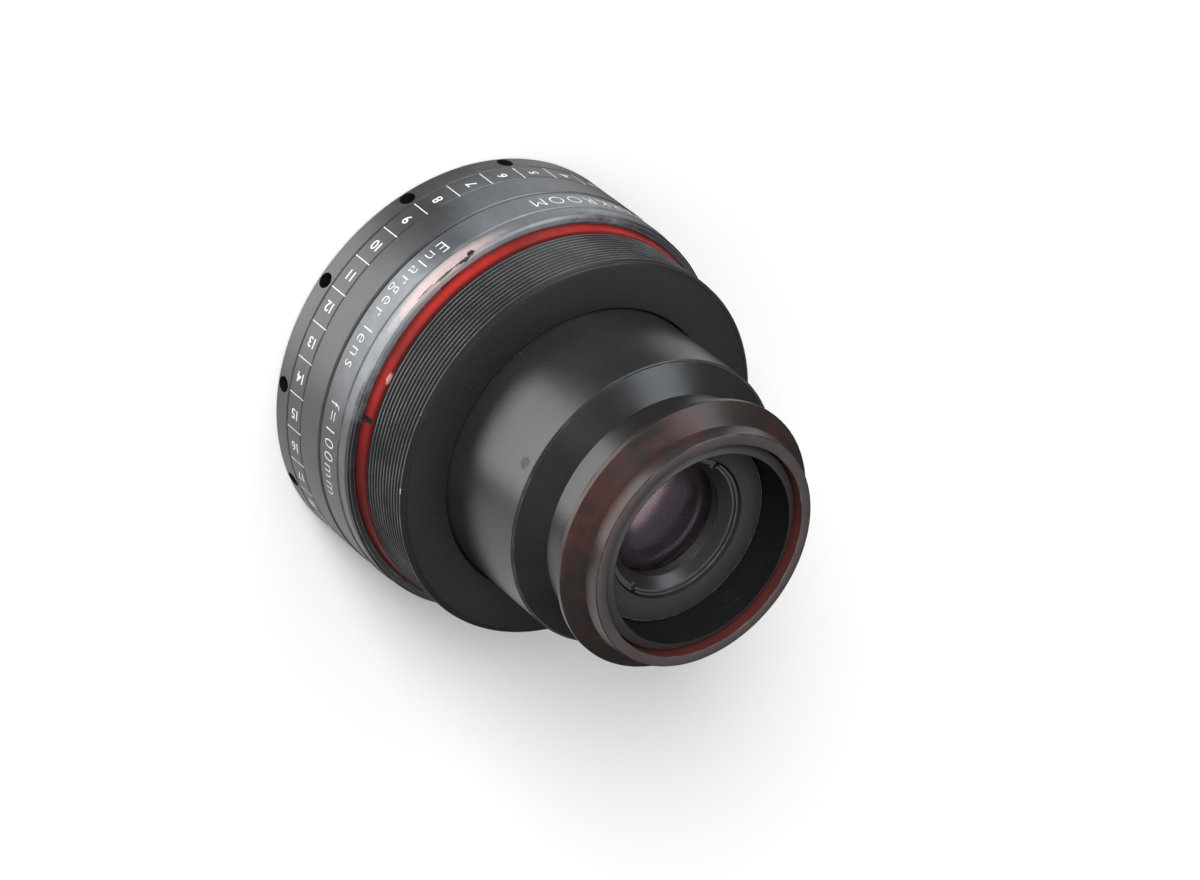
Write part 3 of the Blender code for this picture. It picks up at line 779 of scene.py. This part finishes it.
def lettering(text, height, weight=0.0, spacing=1.0):
    """The text as a thin flat solid, centred, with capitals of this height."""
    curve = bpy.data.curves.new("text", "FONT")
    curve.body = text
    curve.size = height / CAPITAL
    curve.offset = weight
    curve.space_character = spacing
    curve.align_x = "CENTER"
    curve.extrude = HALF_THICK
    curve.resolution_u = 5
    obj = bpy.data.objects.new("text", curve)
    bpy.context.scene.collection.objects.link(obj)
    bpy.context.view_layer.update()
    mesh = bpy.data.meshes.new_from_object(obj.evaluated_get(bpy.context.evaluated_depsgraph_get()))
    shape = bmesh.new()
    shape.from_mesh(mesh)
    bmesh.ops.remove_doubles(shape, verts=shape.verts, dist=TINY)
    bpy.data.objects.remove(obj)
    bpy.data.curves.remove(curve)
    bpy.data.meshes.remove(mesh)
    return shape


def inlay(name, shape, node, material):
    """The wrapped drawing, as an object that moves with the ring it lies in."""
    obj = mesh_object(name, shape, [material])
    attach(obj, body_of(node))


def ring_text(name, text, degrees, node, material):
    """Generic lettering round the name ring, with its tops towards the small end."""
    shape = lettering(text, TEXT_SIZE, -0.075 * MM, 1.3)
    slice_up(shape, STRIP, 0)
    bend(shape, radius_of(node), degrees, heights_of(node)[0] + TEXT_RISE, upright=True)
    inlay(name, shape, node, material)


def scale_line():
    """A thin flat bar, drawn lying along X."""
    width, length = LINE_SIZE
    corner = Vector((length / 2, width / 2, HALF_THICK))
    return block(-corner, corner)


def scale_number(number):
    """The number, drawn with its middle on X."""
    digits = lettering(str(number), NUMBER_SIZE, 0.03 * MM, 0.85)
    middle = sum(v.co.y for v in digits.verts) / len(digits.verts)
    for vertex in digits.verts:
        vertex.co.y -= middle
    slice_up(digits, STRIP, 1)
    return digits


def make_scale(material):
    """The focusing scale: a line every 10 degrees and a number between each two."""
    low = heights_of("scale_ring")[0]
    radius = radius_of("scale_ring") - SCALE_SINK
    spacing = 360 / SCALE_COUNT
    lines, numbers = [], []
    for number in range(SCALE_COUNT):
        line = scale_line()
        bend(line, radius, SCALE_START + spacing * number, low + LINE_RISE, upright=False)
        lines.append(line)
        digits = scale_number(number)
        bend(digits, radius, NUMBER_START + spacing * number, low + NUMBER_RISE, upright=False)
        numbers.append(digits)
    inlay("scale_lines", gather(lines), "scale_ring", material)
    inlay("scale_numbers", gather(numbers), "scale_ring", material)


def make_index_mark(material):
    """The black mark across the red ring."""
    low, high = heights_of("red_index_ring")
    half = MARK_WIDTH / 2
    shape = block(Vector((-half, low, -HALF_THICK)), Vector((half, high, HALF_THICK)))
    slice_up(shape, 0.3 * MM, 1)
    ring = section("red_index_ring")
    bottom = max(r for r, z in ring)
    top = max(r for r, z in ring if z > high - 0.01 * MM)
    for vertex in shape.verts:
        across, up, out = vertex.co
        share = (up - low) / (high - low)
        radius = bottom + (top - bottom) * share
        radius += MARK_PROUD if out > 0 else -MARK_ROOTED
        vertex.co = polar(radius, MARK_AT + math.degrees(across / bottom), up - 0.02 * MM)
    obj = mesh_object("index_mark", shape, [material])
    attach(obj, body_of("red_index_ring"))


# ---------------------------------------------------------------- the pieces

CLOSING = 0.1 * MM        # how far each of two touching rings closes the CAD's gap between them
KEY_CLEARANCE = 0.3 * MM

HOLE_COUNT = 12           # round holes for a spanner, at the large end
HOLE_R = 1.6 * MM
HOLE_Z = 2.25 * MM
HOLE_DEPTH = 4 * MM

SLOT_REACH = 1.5 * MM     # half of a spanner slot in the retaining ring, along its radius
SLOT_HALF = 0.6 * MM
SLOT_DEPTH = 1.1 * MM
SLOT_TURN = math.radians(7)

KEY_SCREWS = ("key_screw_1", "key_screw_2")
SCREW_STEPS = 48
HEAD_HEIGHT = 1.0 * MM
SHANK_R = 0.8 * MM
DRIVE_HALF = 0.22 * MM    # half the width of the screwdriver slot
DRIVE_DEPTH = 0.5 * MM


def make_lens_barrel(materials):
    """The barrel, with the slot that the guide key runs in."""
    barrel = turned("lens_barrel", materials, SHARPER)
    key_low, key_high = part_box("guide_key")
    low = Vector((key_low.x - KEY_CLEARANCE, key_low.y - KEY_CLEARANCE, key_low.z - 2 * MM))
    high = Vector((key_high.x + KEY_CLEARANCE, key_high.y + KEY_CLEARANCE, key_high.z))
    return cut(barrel, [block(low, high)])


def make_spanner_ring(materials):
    """The large end's ring, with its round spanner holes in the last material."""
    ring = turned("spanner_ring", materials, SHARPER, edge=heights_of("spanner_ring")[1], by=CLOSING)
    radius = radius_of("spanner_ring")
    holes = []
    for number in range(HOLE_COUNT):
        degrees = SCALE_START + 360 / HOLE_COUNT * number
        outside = polar(radius + MM, degrees, HOLE_Z)
        inside = polar(radius - HOLE_DEPTH, degrees, HOLE_Z)
        hole = rod(HOLE_R, inside, outside)
        for face in hole.faces:
            face.material_index = len(materials) - 1
        holes.append(hole)
    return cut(ring, holes)


def make_retaining_ring(materials):
    """The ring that holds the rear glass, with its two spanner slots."""
    ring = turned("rear_retaining_ring", materials, SHARPER)
    top = heights_of("rear_retaining_ring")[1]
    radius = radius_of("rear_retaining_ring")
    slots = []
    for side in (-1, 1):
        middle = side * (radius - MM)
        low = Vector((middle - SLOT_REACH, -SLOT_HALF, top - SLOT_DEPTH))
        high = Vector((middle + SLOT_REACH, SLOT_HALF, top + MM))
        slots.append(block(low, high, SLOT_TURN))
    return cut(ring, slots)


def make_key_screw(node, material):
    """A cheese-head screw with a slot."""
    low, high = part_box(node)
    middle = (low + high) / 2
    head_r = (high.x - low.x) / 2
    head_z = high.z - HEAD_HEIGHT
    head = [(0, high.z), (head_r, high.z), (head_r, head_z)]
    outline = head + [(SHANK_R, head_z), (SHANK_R, low.z), (0, low.z)]
    points = rounded(outline, CORNER, closed=False)
    screw = lathe(node + "_turned", points, [material], closed=False, steps=SCREW_STEPS)
    screw.data.transform(Matrix.Translation((middle.x, middle.y, 0)))
    slot_low = Vector((middle.x - 2 * MM, middle.y - DRIVE_HALF, high.z - DRIVE_DEPTH))
    slot_high = Vector((middle.x + 2 * MM, middle.y + DRIVE_HALF, high.z + MM))
    cut(screw, [block(slot_low, slot_high)])
    return stand_for(screw, node)


def make_mount_barrel(materials):
    """The threaded barrel, with a well and a hole for each screw of the guide key."""
    barrel = threaded_barrel(materials)
    top = heights_of("mount_barrel")[1]
    wells, holes = [], []
    for node in KEY_SCREWS:
        low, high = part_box(node)
        middle = (low + high) / 2
        floor = high.z - 1.3 * MM
        wells.append(rod(
            (high.x - low.x) / 2 + 0.3 * MM,
            Vector((middle.x, middle.y, floor)),
            Vector((middle.x, middle.y, top + MM)),
        ))
        holes.append(rod(
            1.1 * MM,
            Vector((middle.x, middle.y, top - 4 * MM)),
            Vector((middle.x, middle.y, floor + 0.5 * MM)),
        ))
    cut(barrel, wells)
    return cut(barrel, holes)


# ---------------------------------------------------------------- the studio

FLOOR_ALBEDO = ((0.775, 0.775, 0.77), (0.75, 0.75, 0.75))
FLOOR_SIZE = 30.0
ROOM_GLOW = 0.05          # the world's strength in reflections and on surfaces
ROOM_SEEN = 0.95          # and where the camera sees it
AIM_OFFSET = Vector((-4.0, 2.6, 0.0)) * MM
CAMERA_ELEVATION = 44.5   # degrees
CAMERA_ROLL = 128.6
CAMERA_DISTANCE = 0.7503  # metres from the point aimed at
CAMERA_LENS = 117.16      # focal length in mm


def towards(azimuth, elevation):
    """The unit vector at this azimuth from +X and elevation, both in degrees."""
    a, e = math.radians(azimuth), math.radians(elevation)
    return Vector((math.cos(a) * math.cos(e), math.sin(a) * math.cos(e), math.sin(e)))


def make_camera(centre):
    """The camera at the viewing angle, aimed beside the lens's centre and rolled."""
    back = towards(-90, CAMERA_ELEVATION)
    camera = bpy.data.objects.new("camera", bpy.data.cameras.new("camera"))
    bpy.context.scene.collection.objects.link(camera)
    roll = Matrix.Rotation(math.radians(CAMERA_ROLL), 4, "Z")
    turn = back.to_track_quat("Z", "Y").to_matrix().to_4x4()
    camera.matrix_world = Matrix.Translation(centre + AIM_OFFSET + back * CAMERA_DISTANCE) @ turn @ roll
    camera.data.lens = CAMERA_LENS
    camera.data.clip_start = 0.01
    camera.data.clip_end = 100.0
    bpy.context.scene.camera = camera


def make_sun(name, azimuth, elevation, strength, angle):
    """A soft light that is the same all over the floor, and doesn't show in reflections."""
    data = bpy.data.lights.new(name, "SUN")
    data.energy = strength
    data.angle = math.radians(angle)
    sun = bpy.data.objects.new(name, data)
    sun.rotation_mode = "QUATERNION"
    sun.rotation_quaternion = towards(azimuth, elevation).to_track_quat("Z", "Y")
    sun.visible_glossy = False
    bpy.context.scene.collection.objects.link(sun)


def make_card(name, centre, azimuth, elevation, width, height, radiance, colour=(1, 1, 1)):
    """A lit card a metre away, seen only in reflections."""
    data = bpy.data.lights.new(name, "AREA")
    data.shape = "RECTANGLE"
    data.size = width
    data.size_y = height
    data.energy = 4 * width * height * radiance
    data.color = colour
    card = bpy.data.objects.new(name, data)
    way = towards(azimuth, elevation)
    card.rotation_mode = "QUATERNION"
    card.rotation_quaternion = way.to_track_quat("Z", "Y")
    card.location = centre + way
    card.visible_camera = False
    card.visible_diffuse = False
    card.visible_transmission = False
    bpy.context.scene.collection.objects.link(card)


def make_floor():
    """A pale paper floor at the foot of the lens."""
    shade = Shade("studio_paper", specular=0.0)
    colour = shade.mix(shade.noise(3.0), *FLOOR_ALBEDO)
    material = shade.finish(colour, shade.ramp(shade.noise(40.0), 0.0, 1.0, 0.85, 0.95))
    shape = bmesh.new()
    bmesh.ops.create_grid(shape, x_segments=1, y_segments=1, size=FLOOR_SIZE)
    floor = mesh_object("floor", shape, [material])
    floor.location.z = cad_low.z
    floor.visible_glossy = False
    floor.visible_shadow = False


def make_world():
    """Pale where the camera sees it, and a dim room everywhere else."""
    world = bpy.data.worlds.new("studio")
    world.use_nodes = True
    bpy.context.scene.world = world
    tree = world.node_tree
    light = tree.nodes["Background"]
    path = tree.nodes.new("ShaderNodeLightPath")
    strength = tree.nodes.new("ShaderNodeMapRange")
    strength.inputs["To Min"].default_value = ROOM_GLOW
    strength.inputs["To Max"].default_value = ROOM_SEEN
    tree.links.new(path.outputs["Is Camera Ray"], strength.inputs["Value"])
    tree.links.new(strength.outputs["Result"], light.inputs["Strength"])
    light.inputs["Color"].default_value = (1, 1, 1, 1)


def make_studio():
    """Camera, paper, a soft key and fill, and the cards that the rings and the glass reflect."""
    centre = (cad_low + cad_high) / 2
    make_camera(centre)
    make_floor()
    make_world()
    make_sun("key", 257, 35, 3.3, 22)
    make_sun("fill", 257, 62, 2.5, 70)
    make_card("card_below", centre, 285, -44, 1.10, 0.80, 2.1)
    make_card("card_side", centre, 192, 22, 0.50, 1.10, 1.5, (0.86, 0.93, 1.0))
    make_card("card_left", centre, 150, -40, 0.50, 0.60, 0.7)
    make_card("card_right", centre, 15, -40, 1.20, 0.60, 0.7)
    make_card("card_back", centre, 90, 50, 0.70, 0.40, 0.35, (0.8, 0.85, 1.0))
    make_card("card_above", centre, 96, 73, 0.60, 0.44, 3.1, (1.0, 0.94, 0.95))
    bpy.context.scene.view_settings.view_transform = "Standard"


# ---------------------------------------------------------------- materials, where each is worn, and where light and shade are painted on

RING_SCRATCHES = [(226, 0.0, 16 * MM, 0.10 * MM), (229, 10 * MM, 17 * MM, 0.06 * MM)]
# Painted sheen and wear: a bluish grey worn patch on the scale rings.
RING_RUB_AND_SHEEN = (polar(radius_of("scale_ring"), 230, 20 * MM), 28 * MM, 1.3, 0.6)
# Painted shade: a darker patch on the scale ring around 251 degrees.
RING_PAINTED_SHADE = [(polar(radius_of("scale_ring"), 251, 11 * MM), 15 * MM, 0.8, 0.9, (0.012, 0.012, 0.0125), 0.75)]
RING = anodised(
    "ring_black", (0.030, 0.030, 0.031), (0.042, 0.042, 0.044), 0.42,
    RING_PAINTED_SHADE, RING_RUB_AND_SHEEN, RING_SCRATCHES, grainy=0.7)
# Edges lighter than their faces: partly wear, partly a painted edge highlight.
RING_EDGE = worn_edge("ring_edge", (0.045, 0.045, 0.047), (0.15, 0.15, 0.155))
# Painted sheen and wear: a broad bluish grey worn patch on the name ring.
NAME_RUB_AND_SHEEN = (polar(radius_of("name_ring"), 238, 25 * MM), 56 * MM, 2.6, 1.0)
# Painted shade: a darker spot in the name ring's sheen around 250 degrees.
NAME_PAINTED_SHADE = [(polar(radius_of("name_ring"), 250, 19.5 * MM), 10 * MM, 1.2, 0.9, (0.030, 0.031, 0.033), 0.7)]
NAME = anodised(
    "name_grey", (0.031, 0.032, 0.034), (0.044, 0.046, 0.049), 0.41, NAME_PAINTED_SHADE, NAME_RUB_AND_SHEEN)
# The name ring's light edges: partly wear, partly a painted edge highlight.
NAME_EDGE = worn_edge("name_edge", (0.14, 0.145, 0.15), (0.36, 0.37, 0.38))
SHOULDER_R = radius_of("shoulder_ring")
# The first patch is a painted highlight, pinkish white on the shoulder's edge; the others are real black
# chips.
SHOULDER_HIGHLIGHT_AND_CHIPS = [
    (polar(SHOULDER_R, 256, 25.1 * MM), 18 * MM, 8.0, 0.6, (0.62, 0.47, 0.46), 0.85),
    (polar(SHOULDER_R, 247.5, 25.8 * MM), 0.8 * MM, 1.1, 0.12, (0.015, 0.015, 0.015), 1.0),
    (polar(SHOULDER_R, 250, 26.3 * MM), 1.3 * MM, 3.5, 0.12, (0.015, 0.015, 0.015), 1.0),
    (polar(SHOULDER_R, 256, 26.2 * MM), 3.4 * MM, 13.0, 0.12, (0.020, 0.020, 0.020), 0.9),
    (polar(SHOULDER_R, 263, 25.9 * MM), 2.4 * MM, 11.0, 0.12, (0.030, 0.030, 0.030), 0.8),
]
# Painted sheen and wear: the shoulder's bluish grey worn patch.
SHOULDER_RUB_AND_SHEEN = (polar(SHOULDER_R, 248, 25 * MM), 60 * MM, 1.0, 0.95)
# Above the given height the shoulder is painted matte black, as painted shade, outside the worn patch.
SHOULDER = anodised(
    "shoulder_grey", (0.024, 0.0245, 0.026), (0.038, 0.039, 0.041), 0.34, SHOULDER_HIGHLIGHT_AND_CHIPS, SHOULDER_RUB_AND_SHEEN,
    shade_above=heights_of("shoulder_ring")[1] - 1.6 * MM)
NECK_SMUDGE = [(polar(29.85 * MM, 285, 61.3 * MM), 1.2 * MM, 1.0, 0.12, (0.006, 0.006, 0.006), 0.8)]
NECK = anodised(
    "neck_black", (0.0125, 0.0127, 0.0135), (0.019, 0.0193, 0.020), 0.35, NECK_SMUDGE, hair=0.03, grainy=0.35)
COLLAR_TOP = Vector((0, 0, heights_of("rear_collar")[1]))
# A lighter grey over the collar's top lip.
COLLAR_LIP = [(COLLAR_TOP, 50 * MM, 18.0, 0.12, (0.024, 0.024, 0.025), 0.9)]
COLLAR = anodised("collar_black", (0.009, 0.009, 0.0093), (0.014, 0.014, 0.0143), 0.32, COLLAR_LIP, hair=0.1)
CELL = matte("cell_black", (0.013, 0.013, 0.0135), (0.021, 0.021, 0.022), 0.2, radius_of("rear_cell"))
FACE = matte("face_black", (0.0078, 0.0078, 0.0082), (0.0125, 0.0125, 0.0132), 0.2)
MATTE = matte("matte_black", (0.007, 0.007, 0.0075), (0.013, 0.013, 0.014), 0.4)
RECESS = matte("recess_black", (0.004, 0.004, 0.0042), (0.007, 0.007, 0.0073), 0.15)
THREAD = thread_black()
BROWN = faded_brown()
# The flange's lighter edges: partly wear, partly a painted edge highlight.
BROWN_EDGE = worn_edge("brown_edge", (0.040, 0.030, 0.029), (0.12, 0.105, 0.10))
RED = index_red()
BRASS = bare_metal("greased_brass", (0.20, 0.17, 0.11), (0.46, 0.40, 0.27), 0.3)
STEEL = bare_metal("turned_steel", (0.18, 0.18, 0.18), (0.40, 0.40, 0.40), 0.28)
WHITE = engraving_paint()
PURPLE = (1.0, 0.73, 0.82)
REAR_GLASS = coated_glass("rear_glass", radius_of("rear_element"), PURPLE, (0.93, 0.88, 0.93))
INNER_GLASS = coated_glass("inner_glass", radius_of("inner_element"), (0.16, 0.13, 0.20), (0.80, 0.74, 0.80))
FRONT_GLASS = coated_glass("front_glass", radius_of("front_element"), (0.60, 0.48, 0.68), (0.92, 0.90, 0.93))


# ---------------------------------------------------------------- assembly

make_spanner_ring([RING, RING_EDGE, RECESS])
SCALE_LOW = heights_of("scale_ring")[0]
turned("scale_ring", [RING, RING_EDGE], SHARPER, sink=SCALE_SINK, edge=SCALE_LOW, by=-CLOSING)
turned("name_ring", [NAME, NAME_EDGE], 0.07 * MM, edge=heights_of("name_ring")[1], by=CLOSING)
SHOULDER_LOW = heights_of("shoulder_ring")[0]
turned("shoulder_ring", [SHOULDER, NAME_EDGE], SHARPER, edge=SHOULDER_LOW, by=-CLOSING)
turned("red_index_ring", [RED])
make_mount_barrel([THREAD, FACE])
make_lens_barrel([NECK, RING_EDGE])
COLLAR_BORE = min(r for r, z in section("rear_collar")) + 0.2 * MM
COLLAR_FOOT = heights_of("lens_barrel")[1] + 0.3 * MM
turned("rear_collar", [COLLAR, RING_EDGE, RECESS], SHARPER, COLLAR_BORE, edge=COLLAR_FOOT, by=-0.25 * MM)
turned("rear_flange_ring", [BROWN, BROWN_EDGE])
make_retaining_ring([COLLAR, RING_EDGE])
MATTE_NODES = [
    "front_bezel", "front_retaining_ring", "front_doublet_cell", "front_doublet_ring", "stop_ring",
    "aperture_stop", "rear_doublet_ring", "inner_element_ring",
]
for matte_node in MATTE_NODES:
    turned(matte_node, [MATTE], SHARPER)
turned("rear_cell", [CELL], SHARPER)
turned("helicoid_sleeve", [BRASS])
turned("ring_keeper", [BRASS])
glass("rear_element", REAR_GLASS)
glass("inner_element", INNER_GLASS)
for front_node in ("rear_doublet", "front_doublet", "front_element"):
    glass(front_node, FRONT_GLASS)
for screw_node in KEY_SCREWS:
    make_key_screw(screw_node, STEEL)

make_scale(WHITE)
ring_text("name_text", "Enlarger lens", 270, "name_ring", WHITE)
ring_text("focal_length_text", "f=100mm", 314, "name_ring", WHITE)
ring_text("use_text", "DARKROOM", 204, "name_ring", WHITE)
make_index_mark(MATTE)

KEPT = {"guide_key": BRASS, "stop_pin": STEEL, "stop_lug": STEEL}
for kept_node, kept_material in KEPT.items():
    node_mesh = frame["nodes"][kept_node].data
    node_mesh.materials.clear()
    node_mesh.materials.append(kept_material)

make_studio()
